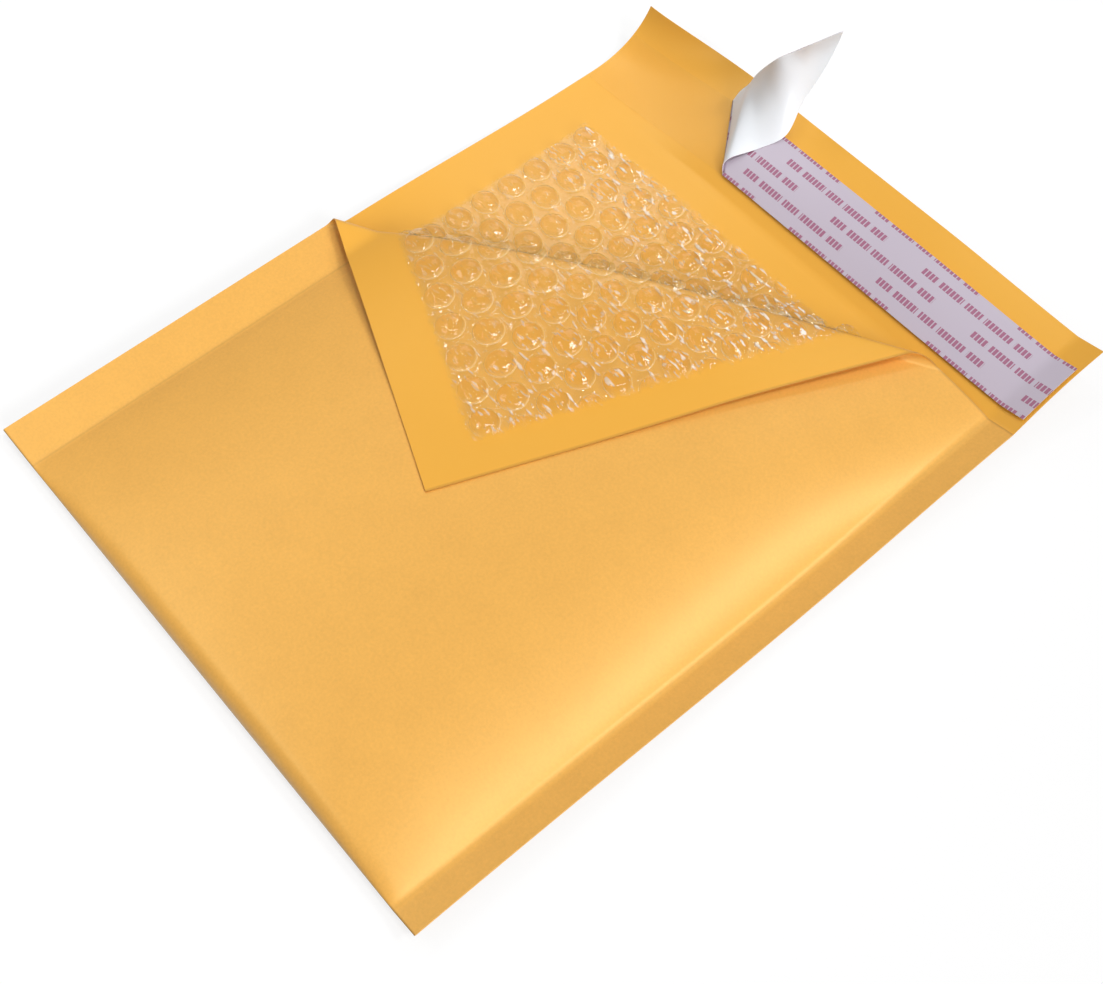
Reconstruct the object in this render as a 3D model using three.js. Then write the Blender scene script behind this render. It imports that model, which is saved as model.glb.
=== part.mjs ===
import * as THREE from 'three';

// Padded envelope lying on its back: a kraft sheet folded at the bottom (y = 0) and glued along
// both sides, a bubble film lining, a glue band on the flap and a release liner peeled at one end.
// Every sheet is drawn flat, as its blank (x across, s along), and then folded.
// s > 0 is the front panel, s < 0 the back panel and, beyond the mouth, the flap.

// driving dimensions, mm
const WIDTH = 240;             // outside width
const LENGTH = 275;            // bottom fold to mouth
const FLAP = 48;               // mouth to flap edge
const PAPER = 0.4;             // kraft sheet
const SEAM_LEFT = 19;          // glued side seams
const SEAM_RIGHT = 11;
const SEAM_HEIGHT = 8.2;       // seam plane above the floor
const SEAM_SAG = 4.5;          // the right seam sags at mid length
const DIP_LEFT = 2.1;          // each seam dips by this from its edge to its crease
const DIP_RIGHT = 2.4;
const TOP = 16.2;              // inside of the front panel above the floor
const NOSE = 5;                // reach of the rounded bottom fold
const CORNER = 128;            // turned corner: its length along the left edge
const UNSEALED = 7;            // the left seam is open from this far below the corner's fold
const FOLD_TURN = 32.5;        // angle of that fold to the bottom edge, degrees
const FOLD_RADIUS = 3.1;
const CORNER_DRIFT = 0.09;     // the turned corner leans along its fold
const CORNER_REACH = 1.05;
const CORNER_SETTLE = 75;      // it comes down to the front panel over this distance
const CLEAR = 0.4;             // between two sheets
const FILM = 0.4;              // lining film
const BUBBLE_PITCH = 13.5;
const BUBBLE_HEIGHT = 3.1;
const BUBBLE_TOP = 4.9;        // half width of a bubble's crown
const LINING_LEFT = 6;         // lining edges to the seams
const LINING_RIGHT = 10;
const LINING_MOUTH = 11.75;    // lining edge to mouth
const LINING_SPREAD = 5;       // the lining's left edge spreads by this where the corner is open
const MOUTH_LIFT = 5;          // the flap lifts the back panel at the mouth
const MOUTH_FALL = 80;         // the front panel falls towards the mouth over this length
const GLUE_EDGE = 13.5;        // glue band to the flap's edge
const GLUE_WIDTH = 28;
const GLUE = 0.2;
const LINER = 0.25;
const SIDE_MARGIN = 1;         // glue band and liner to the flap's side edges
const PEEL_LOW = -37;          // where the peeled end leaves the glue, at the band's lower edge
const PEEL_HIGH = -60;         // and at its upper edge
// run of the peeled end's two long edges from there, as x, y, z steps
const TAIL_LOW = [[-2.5, 2.4, 2.5], [-2, 5.1, 4.5], [3, 15.9, 6.5], [7.3, 26.4, 10], [3.1, 39.4, 17.2],
  [1.3, 48, 20.9], [-0.7, 56.6, 25.6], [-2.5, 62.5, 29.7]];
const TAIL_HIGH = [[0.5, 3.2, 3.7], [2.6, 5.3, 7.7], [4.2, 6.7, 12.6], [7.6, 6.7, 19.2], [13.8, 7.3, 28.9],
  [18.1, 11.2, 33.1], [23.3, 14.7, 38.5], [30.3, 23, 45]];
const TAIL_BOW = 2.5;          // the peeled end's hollow across its width

const HALF = WIDTH / 2;
const FOLD_START = LENGTH - CORNER;      // where the corner's fold leaves the left edge
const SEAL_END = FOLD_START - UNSEALED;  // the left seam is open beyond this
const GLUE_START = FLAP - GLUE_EDGE - GLUE_WIDTH;  // mouth to glue band
const CREASE_L = SEAM_LEFT - HALF;
const CREASE_R = HALF - SEAM_RIGHT;
const clamp = THREE.MathUtils.clamp;
const step = (x, a, b) => THREE.MathUtils.smoothstep(x, a, b);
const mix = THREE.MathUtils.lerp;

// height of the seam plane, and of the back panel's open left edge
function seamHeight(x, y) {
  const along = Math.sin(Math.PI * Math.pow(clamp(y / LENGTH, 0, 1), 1.3));
  const dipLeft = DIP_LEFT * clamp((x + HALF) / SEAM_LEFT, 0, 1);
  const dipRight = DIP_RIGHT * clamp((HALF - x) / SEAM_RIGHT, 0, 1);
  return SEAM_HEIGHT - mix(dipLeft, dipRight, step(x, -HALF / 2, HALF / 2))
    - SEAM_SAG * along * along * step(x, -20, HALF);
}
function backEdge(x, y) {
  const left = 1 - step(x, -HALF, -20);
  const drop = mix(step(y, SEAL_END, SEAL_END + 16) * 0.52, 1, step(y, SEAL_END + 16, LENGTH - 8));
  return mix(seamHeight(x, y), PAPER, left * drop);
}
// how far a panel has left the seam plane: 0 at the seams and the bottom fold, 1 in the middle
function puff(x, y) {
  const u = clamp((2 * x - CREASE_L - CREASE_R) / (CREASE_R - CREASE_L), -1, 1);
  const across = Math.pow(1 - Math.abs(u) ** (u > 0 ? 4 : 2.5), 0.9);
  const nose = Math.sqrt(1 - (1 - Math.min(1, y / NOSE)) ** 2);
  return across * (0.55 * nose + 0.45 * (1 - Math.exp(-y / 22)));
}
function backHeight(x, y) {
  const lift = MOUTH_LIFT * step(y, LENGTH - 55, LENGTH) * step(x, CREASE_L - 4, CREASE_L + 76);
  return mix(backEdge(x, y), PAPER + lift, Math.min(1, 1.12 * puff(x, y)));
}
function frontHeight(x, y) {
  const z = seamHeight(x, y);
  return z + (TOP - z) * puff(x, y) * (1 - 0.4 * step(y, LENGTH - MOUTH_FALL, LENGTH));
}

// turned corner: q runs along its fold, d across it
const FC = Math.cos(FOLD_TURN * Math.PI / 180);
const FS = Math.sin(FOLD_TURN * Math.PI / 180);
const toFold = (x, s) => [(x + HALF) * FC + (s - FOLD_START) * FS, (s - FOLD_START) * FC - (x + HALF) * FS];
const fromFold = (q, d) => [q * FC - d * FS - HALF, FOLD_START + q * FS + d * FC];
const ROLL_START = -FOLD_RADIUS;
const ROLL_END = ROLL_START + Math.PI * FOLD_RADIUS;
const SETTLED = 2 * PAPER + CLEAR;

function frontPoint(x, s) {
  const [q, d] = toFold(x, s);
  if (d <= ROLL_START) return new THREE.Vector3(x, s, frontHeight(x, s));
  if (d < ROLL_END) {
    const turn = (d - ROLL_START) / FOLD_RADIUS;
    const [bx, by] = fromFold(q, ROLL_START);
    const [px, py] = fromFold(q, ROLL_START + FOLD_RADIUS * Math.sin(turn));
    return new THREE.Vector3(px, py, frontHeight(bx, by) + FOLD_RADIUS * (1 - Math.cos(turn)));
  }
  const t = d - ROLL_END;
  const [px, py] = fromFold(q + CORNER_DRIFT * t, ROLL_START - CORNER_REACH * t);
  const lift = mix(2 * FOLD_RADIUS, SETTLED, step(t, 0, CORNER_SETTLE));
  return new THREE.Vector3(px, py, frontHeight(px, py) + lift);
}

// flap: it leaves the mouth at a slope that changes across the width
function flapSlope(x, f) {
  const left = 1.08 * Math.pow(clamp((f - 8) / (FLAP - 8), 0, 1), 1.4);
  const middle = mix(0.45, 0.05, step(f, 0, FLAP));
  const right = mix(0.34, 0.02, step(f, 2, FLAP));
  return x < 0 ? mix(middle, left, step(-x, 25, HALF)) : mix(middle, right, step(x, 40, HALF));
}
function flapPoint(x, f) {
  const n = 24;
  let y = LENGTH, z = backHeight(x, LENGTH);
  for (let i = 0; i < n; i++) {
    const a = flapSlope(x, f * (i + 0.5) / n);
    y += Math.cos(a) * f / n;
    z += Math.sin(a) * f / n;
  }
  return new THREE.Vector3(x, y, z);
}

// inside face of the sleeve at a point of the blank, and its outward normal
function inside(x, s) {
  if (s >= 0) return frontPoint(x, s);
  return s < -LENGTH ? flapPoint(x, -s - LENGTH) : new THREE.Vector3(x, -s, backHeight(x, -s));
}
function outward(x, s) {
  if (Math.abs(s) < 1e-6) return new THREE.Vector3(0, -1, 0);
  const e = Math.min(0.05, Math.abs(s) / 2);
  const dx = inside(x + e, s).sub(inside(x - e, s));
  const ds = inside(x, s + e).sub(inside(x, s - e));
  return dx.cross(ds).normalize();
}
// depth > 0 goes into the pocket
function folded(x, s, depth) {
  return inside(x, s).addScaledVector(outward(x, s), -depth);
}

// triangles between two lines of blank points, the first with the lower s
function zip(a, b) {
  const tri = [];
  const gap = (p, r) => Math.hypot(p[0] - r[0], p[1] - r[1]);
  for (let i = 0, j = 0; i < a.length - 1 || j < b.length - 1;) {
    const alongA = j === b.length - 1
      || (i < a.length - 1 && gap(a[i + 1], b[j]) <= gap(a[i], b[j + 1]));
    tri.push(alongA ? [a[i], a[i + 1], b[j]] : [a[i], b[j + 1], b[j]]);
    if (alongA) i++; else j++;
  }
  return tri;
}

// flat triangles of a sheet between x0 and x1, from the bottom fold to s1 on both panels
function sheetTriangles(x0, x1, s1, columns, sealed, flapRows) {
  const foldLine = (d) => FOLD_START + (d + (x0 + HALF) * FS) / FC;
  const line = (a, b) => columns.map((x) => [x, mix(a, b, (x - x0) / (x1 - x0))]);
  const shares = [0, 0.001, 0.0042, 0.01, 0.019, 0.045, 0.1, 0.19, 0.3, 0.41, 0.49, 0.57, 0.65, 0.735, 0.82, 0.91, 1];
  const fan = shares.map((k) => line(sealed * mix(k, Math.pow(k, 0.85), k * (1 - k) * 3), s1 * k));
  fan[0] = columns.map((x) => [x, 0]);
  const tri = [];
  for (let k = 0; k + 1 < fan.length; k++) {
    for (const t of zip(fan[k], fan[k + 1])) {
      tri.push(t, [t[2], t[1], t[0]].map(([x, s]) => [x, -s]));
    }
  }
  // front: lines that end on the mouth edge, the roll of the turned corner, then the corner
  const slant = (a, xEnd, n) => Array.from({ length: n + 1 }, (_, i) => {
    const x = mix(x0, xEnd, i / n);
    return [x, mix(a, s1, i / n)];
  });
  const atMouth = (d) => x0 + (s1 - foldLine(d)) * FC / FS;
  const lines = [fan[fan.length - 1]];
  const first = atMouth(ROLL_START);
  for (const k of [0.35, 0.7]) lines.push(slant(mix(sealed, foldLine(ROLL_START), k), mix(x1, first, k), columns.length - 1));
  const reach = (s1 - foldLine(0)) * FC;
  const rows = [0, 1, 2, 3, 4, 5, 6].map((k) => mix(ROLL_START, ROLL_END, k / 6));
  for (const k of [0.06, 0.16, 0.3, 0.46, 0.63, 0.82]) rows.push(mix(ROLL_END, reach, k));
  for (const d of rows) {
    const n = Math.max(2, Math.round((columns.length - 1) * (reach - d) / reach));
    lines.push(slant(foldLine(d), atMouth(d), n));
  }
  lines.push([[x0, s1]]);
  for (let k = 0; k + 1 < lines.length; k++) tri.push(...zip(lines[k], lines[k + 1]));
  // back: rows across what the fan leaves, then the flap
  const edge = fan[fan.length - 1];
  const back = edge.map((p, k) => columns.slice(0, k + 1).map((x) => [x, -p[1]]));
  for (const f of flapRows) back.push(columns.map((x) => [x, -s1 - f]));
  for (let k = 0; k + 1 < back.length; k++) tri.push(...zip(back[k + 1], back[k]));
  return tri;
}

// closed solid from triangles of 3D points: shared corners are joined, faces in contact drop out
function solid(name, faces, material) {
  const key = (p) => `${Math.round(p.x * 5000)},${Math.round(p.y * 5000)},${Math.round(p.z * 5000)}`;
  const ids = new Map(), xyz = [], kept = new Map();
  for (const face of faces) {
    const t = face.map((p) => {
      const k = key(p);
      if (!ids.has(k)) { ids.set(k, xyz.length / 3); xyz.push(p.x, p.y, p.z); }
      return ids.get(k);
    });
    if (t[0] === t[1] || t[1] === t[2] || t[2] === t[0]) continue;
    const same = [...t].sort((m, n) => m - n).join();
    if (kept.has(same)) kept.delete(same); else kept.set(same, t);
  }
  const geometry = new THREE.BufferGeometry();
  geometry.setAttribute('position', new THREE.Float32BufferAttribute(xyz, 3));
  geometry.setIndex([...kept.values()].flat());
  geometry.computeVertexNormals();
  const mesh = new THREE.Mesh(geometry, new THREE.MeshStandardMaterial(material));
  mesh.name = name;
  return mesh;
}

// border of a flat triangle set, as pairs of points in the direction of their triangles
function border(tri) {
  const id = (p) => `${p[0].toFixed(5)},${p[1].toFixed(5)}`;
  const edges = new Map();
  for (const t of tri) {
    for (let i = 0; i < 3; i++) {
      const a = t[i], b = t[(i + 1) % 3];
      if (!edges.delete(`${id(b)}|${id(a)}`)) edges.set(`${id(a)}|${id(b)}`, [a, b]);
    }
  }
  return [...edges.values()];
}

// a folded sheet of even thickness between two depths
function sheet(tri, low, high, place) {
  const faces = [];
  for (const [a, b, c] of tri) {
    faces.push([place(...a, low), place(...b, low), place(...c, low)]);
    faces.push([place(...c, high), place(...b, high), place(...a, high)]);
  }
  for (const [a, b] of border(tri)) {
    faces.push([place(...b, low), place(...a, low), place(...a, high)]);
    faces.push([place(...b, low), place(...a, high), place(...b, high)]);
  }
  return faces;
}

// kraft sleeve: front, bottom fold, back and flap in one sheet, the plies joined at the seams
const kraftColumns = [-HALF, mix(-HALF, CREASE_L, 0.5), CREASE_L, CREASE_L + LINING_LEFT];
for (const k of [0.06, 0.12, 0.21, 0.34, 0.5, 0.66, 0.79, 0.88]) kraftColumns.push(mix(CREASE_L, CREASE_R, k));
kraftColumns.push(CREASE_R - LINING_RIGHT, mix(CREASE_R - LINING_RIGHT, CREASE_R, 0.5), CREASE_R, HALF);
const flapRows = [0.15, 0.28, 0.4, 0.52, 0.65, 0.82, 1].map((k) => k * FLAP);
const kraft = sheetTriangles(-HALF, HALF, LENGTH, kraftColumns, SEAL_END, flapRows);
const kraftSleeve = solid('kraft_sleeve', sheet(kraft, -PAPER, 0, folded),
  { color: 0xd39a4c, roughness: 0.75, metalness: 0 });

// bubble lining: a honeycomb of cells over one folded film, a bubble on each cell
const LX0 = CREASE_L + LINING_LEFT;
const LX1 = CREASE_R - LINING_RIGHT;
const LS = LENGTH - LINING_MOUTH;
const CELL = BUBBLE_PITCH / Math.sqrt(3);

// part of a polygon of [x, s, depth] points on one side of a line
function keepSide(poly, side) {
  const out = [];
  poly.forEach((p, i) => {
    const r = poly[(i + 1) % poly.length];
    const dp = side(p), dr = side(r);
    if (dp >= -1e-7) out.push(p);
    if ((dp > 1e-7 && dr < -1e-7) || (dp < -1e-7 && dr > 1e-7)) {
      const k = dp / (dp - dr);
      out.push(p.map((v, m) => v + (r[m] - v) * k));
    }
  });
  return out;
}
const foldLines = [];
for (let k = 0; k <= 6; k++) {
  const d = mix(ROLL_START, ROLL_END, k / 6);
  foldLines.push((p) => toFold(p[0], p[1])[1] - d);
}
for (const s of [-5, -2, -0.6, 0, 0.6, 2, 5]) foldLines.push((p) => p[1] - s);

function cutAtFolds(poly) {
  let parts = [poly];
  for (const side of foldLines) {
    const next = [];
    for (const part of parts) {
      const values = part.map(side);
      if (Math.max(...values) < 1e-6 || Math.min(...values) > -1e-6) { next.push(part); continue; }
      next.push(keepSide(part, side), keepSide(part, (p) => -side(p)));
    }
    parts = next.filter((part) => part.length > 2);
  }
  return parts;
}
function roomAt(x, s) {
  const y = Math.abs(s);
  if (y < 9) return 0;
  if (toFold(x, y)[1] > ROLL_START - 4) return BUBBLE_HEIGHT;
  const room = (frontHeight(x, y) - backHeight(x, y)) / 2 - 2 * CLEAR - FILM - 0.4;
  return clamp(room, 0, BUBBLE_HEIGHT);
}

const lining = [];
function lined(x, s, depth) {
  const open = step(Math.abs(s), SEAL_END, SEAL_END + 32);
  return folded(x - LINING_SPREAD * open * (1 - step(x, LX0, LX0 + 50)), s, depth);
}
const inPocket = ([x, s, h]) => lined(x, s, CLEAR + FILM + h);
const crown = [];
for (let k = 0; k < 6; k++) crown.push([Math.cos(k * Math.PI / 3), Math.sin(k * Math.PI / 3)]);
const stepX = BUBBLE_PITCH * Math.cos(Math.PI / 6);
const nx = Math.ceil((LX1 - LX0) / stepX);
const ns = Math.ceil(LS / BUBBLE_PITCH);
const topBorder = new Map();
function addTop(poly) {
  for (const part of cutAtFolds(poly)) {
    const points = part.map(inPocket);
    for (let i = 1; i + 1 < points.length; i++) lining.push([points[0], points[i + 1], points[i]]);
    for (const p of part) {
      const onBorder = Math.min(p[0] - LX0, LX1 - p[0], LS - Math.abs(p[1])) < 1e-5;
      if (onBorder) topBorder.set(`${p[0].toFixed(4)},${p[1].toFixed(4)}`, [p[0], p[1]]);
    }
  }
}
for (let i = -1; i <= nx + 1; i++) {
  for (let j = -ns - 1; j <= ns + 1; j++) {
    const cx = LX0 + CELL + i * stepX, cs = (j + (i & 1) / 2) * BUBBLE_PITCH;
    const cell = crown.map(([c, n]) => [cx + CELL * c, cs + CELL * n, 0]);
    let flat = keepSide(cell, (p) => p[0] - LX0);
    flat = keepSide(flat, (p) => LX1 - p[0]);
    flat = keepSide(flat, (p) => LS - p[1]);
    flat = keepSide(flat, (p) => LS + p[1]);
    if (flat.length < 3) continue;
    const whole = cell.every((p) => p[0] > LX0 - 1e-6 && p[0] < LX1 && Math.abs(p[1]) < LS + 1e-6);
    const height = whole ? roomAt(cx, cs) : 0;
    if (height < 0.7) { addTop(flat); continue; }
    const seen = toFold(cx, Math.abs(cs))[1] > ROLL_START - 8;
    if (!seen) {
      cell.forEach((p, k) => addTop([p, cell[(k + 1) % 6], [cx, cs, height]]));
      continue;
    }
    const top = crown.map(([c, n]) => [cx + BUBBLE_TOP * c, cs + BUBBLE_TOP * n, height]);
    cell.forEach((p, k) => addTop([p, cell[(k + 1) % 6], top[(k + 1) % 6], top[k]]));
    addTop(top);
  }
}
const liningColumns = [LX0, ...kraftColumns.filter((x) => x > LX0 + 1 && x < LX1 - 1), LX1];
const liningEnd = FOLD_START + (ROLL_START + (LX0 + HALF) * FS) / FC - 3;
const liningFlat = sheetTriangles(LX0, LX1, LS, liningColumns, liningEnd, []);
for (const t of liningFlat) lining.push(t.map(([x, s]) => lined(x, s, CLEAR)));
// its cut edge, between the border of the bubbles and the border of the film
const around = ([x, s]) => {
  if (Math.abs(s + LS) < 1e-4) return x - LX0;
  if (Math.abs(x - LX1) < 1e-4) return (LX1 - LX0) + s + LS;
  if (Math.abs(s - LS) < 1e-4) return (LX1 - LX0) + 2 * LS + LX1 - x;
  return 2 * (LX1 - LX0) + 2 * LS + LS - s;
};
const inOrder = (points) => points.map((p) => [around(p), p]).sort((a, b) => a[0] - b[0]);
const upper = inOrder([...topBorder.values()]);
const lower = inOrder(border(liningFlat).map((e) => e[0]));
const full = 2 * (LX1 - LX0) + 4 * LS;
upper.push([full, upper[0][1]]);
lower.push([full, lower[0][1]]);
for (let i = 0, j = 0; i < upper.length - 1 || j < lower.length - 1;) {
  const u = inPocket([...upper[i][1], 0]), l = lined(...lower[j][1], CLEAR);
  if (j === lower.length - 1 || (i < upper.length - 1 && upper[i + 1][0] <= lower[j + 1][0])) {
    lining.push([l, u, inPocket([...upper[i + 1][1], 0])]);
    i++;
  } else {
    lining.push([l, u, lined(...lower[j + 1][1], CLEAR)]);
    j++;
  }
}
const bubbleLining = solid('bubble_lining', lining,
  { color: 0xe6d8c4, roughness: 0.2, metalness: 0, transparent: true, opacity: 0.55 });

// glue band along the flap
function grid(xs, fs, at) {
  const tri = [];
  const rows = fs.map((f) => xs.map((x) => at(x, f)));
  for (let k = 0; k + 1 < rows.length; k++) tri.push(...zip(rows[k + 1], rows[k]));
  return tri;
}
const even = (a, b, n) => Array.from({ length: n + 1 }, (_, k) => mix(a, b, k / n));
const glueRows = even(GLUE_START, GLUE_START + GLUE_WIDTH, 4);
const flapColumns = [SIDE_MARGIN - HALF, ...kraftColumns.slice(1, -1), HALF - SIDE_MARGIN];
const glueFlat = grid(flapColumns, glueRows, (x, f) => [x, -LENGTH - f]);
const adhesive = solid('adhesive_strip', sheet(glueFlat, CLEAR, CLEAR + GLUE, folded),
  { color: 0xe2b878, roughness: 0.15, metalness: 0 });

// release liner: flat on the glue, its peeled end turned back and risen between two curves
const LINER_LOW = 2 * CLEAR + GLUE;
function tailCurve(x, f, steps) {
  const start = folded(x, -LENGTH - f, LINER_LOW);
  return new THREE.CatmullRomCurve3([start, ...steps.map((d) => start.clone().add(new THREE.Vector3(...d)))]);
}
const lowCurve = tailCurve(PEEL_LOW, GLUE_START, TAIL_LOW);
const highCurve = tailCurve(PEEL_HIGH, GLUE_START + GLUE_WIDTH, TAIL_HIGH);
const tailPoint = (u, v) => lowCurve.getPoint(u).lerp(highCurve.getPoint(u), v);
// x < 0 on the peeled end, -x its share along the end; x from 0 to 1 on the glue
function linerPoint(x, v, depth) {
  if (x >= 0) {
    const left = mix(PEEL_LOW, PEEL_HIGH, v);
    return folded(mix(left, HALF - SIDE_MARGIN, x), -LENGTH - GLUE_START - v * GLUE_WIDTH, LINER_LOW + depth);
  }
  const u = clamp(-x, 0.02, 0.98);
  const along = tailPoint(u + 0.02, v).sub(tailPoint(u - 0.02, v));
  const across = tailPoint(u, 1).sub(tailPoint(u, 0));
  const bow = TAIL_BOW * 4 * v * (1 - v) * step(-x, 0.1, 0.5) * (1 - step(-x, 0.7, 1));
  return tailPoint(-x, v).addScaledVector(across.cross(along).normalize(), depth - bow);
}
const linerColumns = [...even(-1, 0, 14), ...even(0, 1, 12).slice(1)];
const linerFlat = [];
const linerRow = (v) => linerColumns.map((x) => [x, v]);
const linerV = even(0, 1, 4);
for (let k = 0; k < 4; k++) linerFlat.push(...zip(linerRow(linerV[k]), linerRow(linerV[k + 1])));
const liner = solid('release_liner', sheet(linerFlat.map((t) => [t[2], t[1], t[0]]), 0, LINER, linerPoint),
  { color: 0xd9d2de, roughness: 0.45, metalness: 0 });

const envelope = new THREE.Group();
envelope.name = 'padded_envelope';
envelope.add(kraftSleeve, bubbleLining, adhesive, liner);
const box = new THREE.Box3().setFromObject(envelope);
const middle = box.getCenter(new THREE.Vector3());
envelope.position.set(-middle.x, -middle.y, -box.min.z);

export default envelope;
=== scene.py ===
import bpy
import numpy as np
from mathutils import Matrix
from mathutils import Vector


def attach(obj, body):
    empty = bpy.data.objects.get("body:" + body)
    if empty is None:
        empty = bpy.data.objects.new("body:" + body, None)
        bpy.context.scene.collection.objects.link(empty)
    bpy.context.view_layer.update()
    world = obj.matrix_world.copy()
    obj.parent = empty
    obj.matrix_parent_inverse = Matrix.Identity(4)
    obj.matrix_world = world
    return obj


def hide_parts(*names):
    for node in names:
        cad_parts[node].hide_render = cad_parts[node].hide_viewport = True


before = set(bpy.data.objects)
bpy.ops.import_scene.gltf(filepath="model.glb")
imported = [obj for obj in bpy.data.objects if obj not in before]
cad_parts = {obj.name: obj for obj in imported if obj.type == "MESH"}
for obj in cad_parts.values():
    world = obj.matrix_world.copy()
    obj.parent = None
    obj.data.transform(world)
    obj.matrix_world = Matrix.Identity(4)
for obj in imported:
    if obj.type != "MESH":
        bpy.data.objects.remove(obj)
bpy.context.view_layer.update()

# Kraft sleeve: one sheet of golden kraft paper. It is folded at the bottom and glued along both
# sides, and its front corner is turned back over the front panel. All sheets here are laid out
# flat first, with x across and s along the sheet in millimetres, and then folded.
half_width = 120.0
pocket_length = 275.0
flap_length = 48.0
paper = 0.4
left_crease = -101.0
right_crease = 109.0
seam_rise = 8.2
left_seam_dip = 2.1
right_seam_dip = 2.4
right_seam_sag = 4.5
sag_lean = 1.3
sag_start = -20.0
front_rise = 16.2
left_fullness = 2.5
right_fullness = 4
shoulder = 0.9
fold_nose = 5.0
nose_share = 0.55
pillow_run = 22.0
back_fullness = 1.12
seal_end = 140.0
gape_run = 16.0
gape_share = 0.52
gape_side = -20.0
mouth_lip = 8.0
mouth_lift = 5.0
mouth_lift_run = 55.0
mouth_lift_left = -105.0
mouth_lift_right = -25.0
mouth_flat_start = 195.0
mouth_flattening = 0.4
turn_start = 147.0
turn_angle = np.radians(32.5)
turn_cos = np.cos(turn_angle)
turn_sin = np.sin(turn_angle)
turn_radius = 3.1
roll_start = -turn_radius
roll_end = roll_start + np.pi * turn_radius
corner_skew = 0.09
corner_stretch = 1.05
corner_settle = 75.0
corner_rest = 2 * paper + 0.4
flap_curl = 1.08
flap_curl_start = 8.0
flap_curl_power = 1.4
flap_slope_middle = (0.45, 0.05)
flap_slope_right = (0.34, 0.02)
flap_middle_left = 25.0
flap_middle_right = 40.0
flap_slices = 24


# A smooth step from 0 at low to 1 at high.
def ease(value, low, high):
    share = np.clip((value - low) / (high - low), 0, 1)
    return share * share * (3 - 2 * share)


def blend(a, b, share):
    return a + (b - a) * share


# The height of the sheet at the glued side seams.
def seam_height(x, y):
    along = np.sin(np.pi * np.clip(y / pocket_length, 0, 1) ** sag_lean)
    dip_left = left_seam_dip * np.clip((x + half_width) / (left_crease + half_width), 0, 1)
    dip_right = right_seam_dip * np.clip((half_width - x) / (half_width - right_crease), 0, 1)
    dip = blend(dip_left, dip_right, ease(x, -half_width / 2, half_width / 2))
    return seam_rise - dip - right_seam_sag * along ** 2 * ease(x, sag_start, half_width)


# How far the pocket stands open, from 0 at the creases and the fold to 1 in the middle.
def puff(x, y):
    across = np.clip((2 * x - left_crease - right_crease) / (right_crease - left_crease), -1, 1)
    fullness = np.where(across > 0, right_fullness, left_fullness)
    bulge = (1 - np.abs(across) ** fullness) ** shoulder
    nose = np.sqrt(1 - (1 - np.clip(y / fold_nose, 0, 1)) ** 2)
    pillow = 1 - np.exp(-np.clip(y, 0, None) / pillow_run)
    return bulge * (nose_share * nose + (1 - nose_share) * pillow)


def back_height(x, y):
    left = 1 - ease(x, -half_width, gape_side)
    gape_end = seal_end + gape_run
    gape = ease(y, seal_end, gape_end) * gape_share
    drop = blend(gape, 1, ease(y, gape_end, pocket_length - mouth_lip))
    edge = blend(seam_height(x, y), paper, left * drop)
    near_mouth = ease(y, pocket_length - mouth_lift_run, pocket_length)
    lift = mouth_lift * near_mouth * ease(x, mouth_lift_left, mouth_lift_right)
    return blend(edge, paper + lift, np.minimum(1, back_fullness * puff(x, y)))


def front_height(x, y):
    z = seam_height(x, y)
    flattened = 1 - mouth_flattening * ease(y, mouth_flat_start, pocket_length)
    return z + (front_rise - z) * puff(x, y) * flattened


# A flat place, along and across the line at which the front corner is turned back.
def to_turn(x, s):
    along = (x + half_width) * turn_cos + (s - turn_start) * turn_sin
    across = (s - turn_start) * turn_cos - (x + half_width) * turn_sin
    return along, across


def from_turn(along, across):
    x = along * turn_cos - across * turn_sin - half_width
    return x, turn_start + along * turn_sin + across * turn_cos


# The front panel lies on the pillow, rolls over at the turn and lies back on itself beyond it.
def front_point(x, s):
    along, across = to_turn(x, s)
    flat = np.stack([x, s, front_height(x, s)], -1)
    turn = np.clip((across - roll_start) / turn_radius, 0, np.pi)
    base_x, base_y = from_turn(along, roll_start)
    roll_x, roll_y = from_turn(along, roll_start + turn_radius * np.sin(turn))
    rise = front_height(base_x, base_y) + turn_radius * (1 - np.cos(turn))
    roll = np.stack([roll_x, roll_y, rise], -1)
    past = np.clip(across - roll_end, 0, None)
    over_x, over_y = from_turn(along + corner_skew * past, roll_start - corner_stretch * past)
    lift = blend(2 * turn_radius, corner_rest, ease(past, 0, corner_settle))
    over = np.stack([over_x, over_y, front_height(over_x, over_y) + lift], -1)
    point = np.where((across > roll_start)[..., None], roll, flat)
    return np.where((across >= roll_end)[..., None], over, point)


def flap_slope(x, f):
    curled = np.clip((f - flap_curl_start) / (flap_length - flap_curl_start), 0, 1)
    left = flap_curl * curled ** flap_curl_power
    middle = blend(*flap_slope_middle, ease(f, 0, flap_length))
    right = blend(*flap_slope_right, ease(f, 2, flap_length))
    left_half = blend(middle, left, ease(-x, flap_middle_left, half_width))
    right_half = blend(middle, right, ease(x, flap_middle_right, half_width))
    return np.where(x < 0, left_half, right_half)


# The flap is laid out from the mouth in short slices, each at its own slope.
def flap_point(x, f):
    y = np.full_like(x, pocket_length)
    z = back_height(x, y)
    for k in range(flap_slices):
        slope = flap_slope(x, f * (k + 0.5) / flap_slices)
        y = y + np.cos(slope) * f / flap_slices
        z = z + np.sin(slope) * f / flap_slices
    return np.stack([x, y, z], -1)


# The kraft's inner face: the front panel where s is above 0, the back panel and the flap below.
def inside(x, s):
    back = np.stack([x, -s, back_height(x, -s)], -1)
    flap = flap_point(x, np.clip(-s - pocket_length, 0, None))
    rear = np.where((s < -pocket_length)[..., None], flap, back)
    return np.where((s >= 0)[..., None], front_point(x, s), rear)


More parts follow.
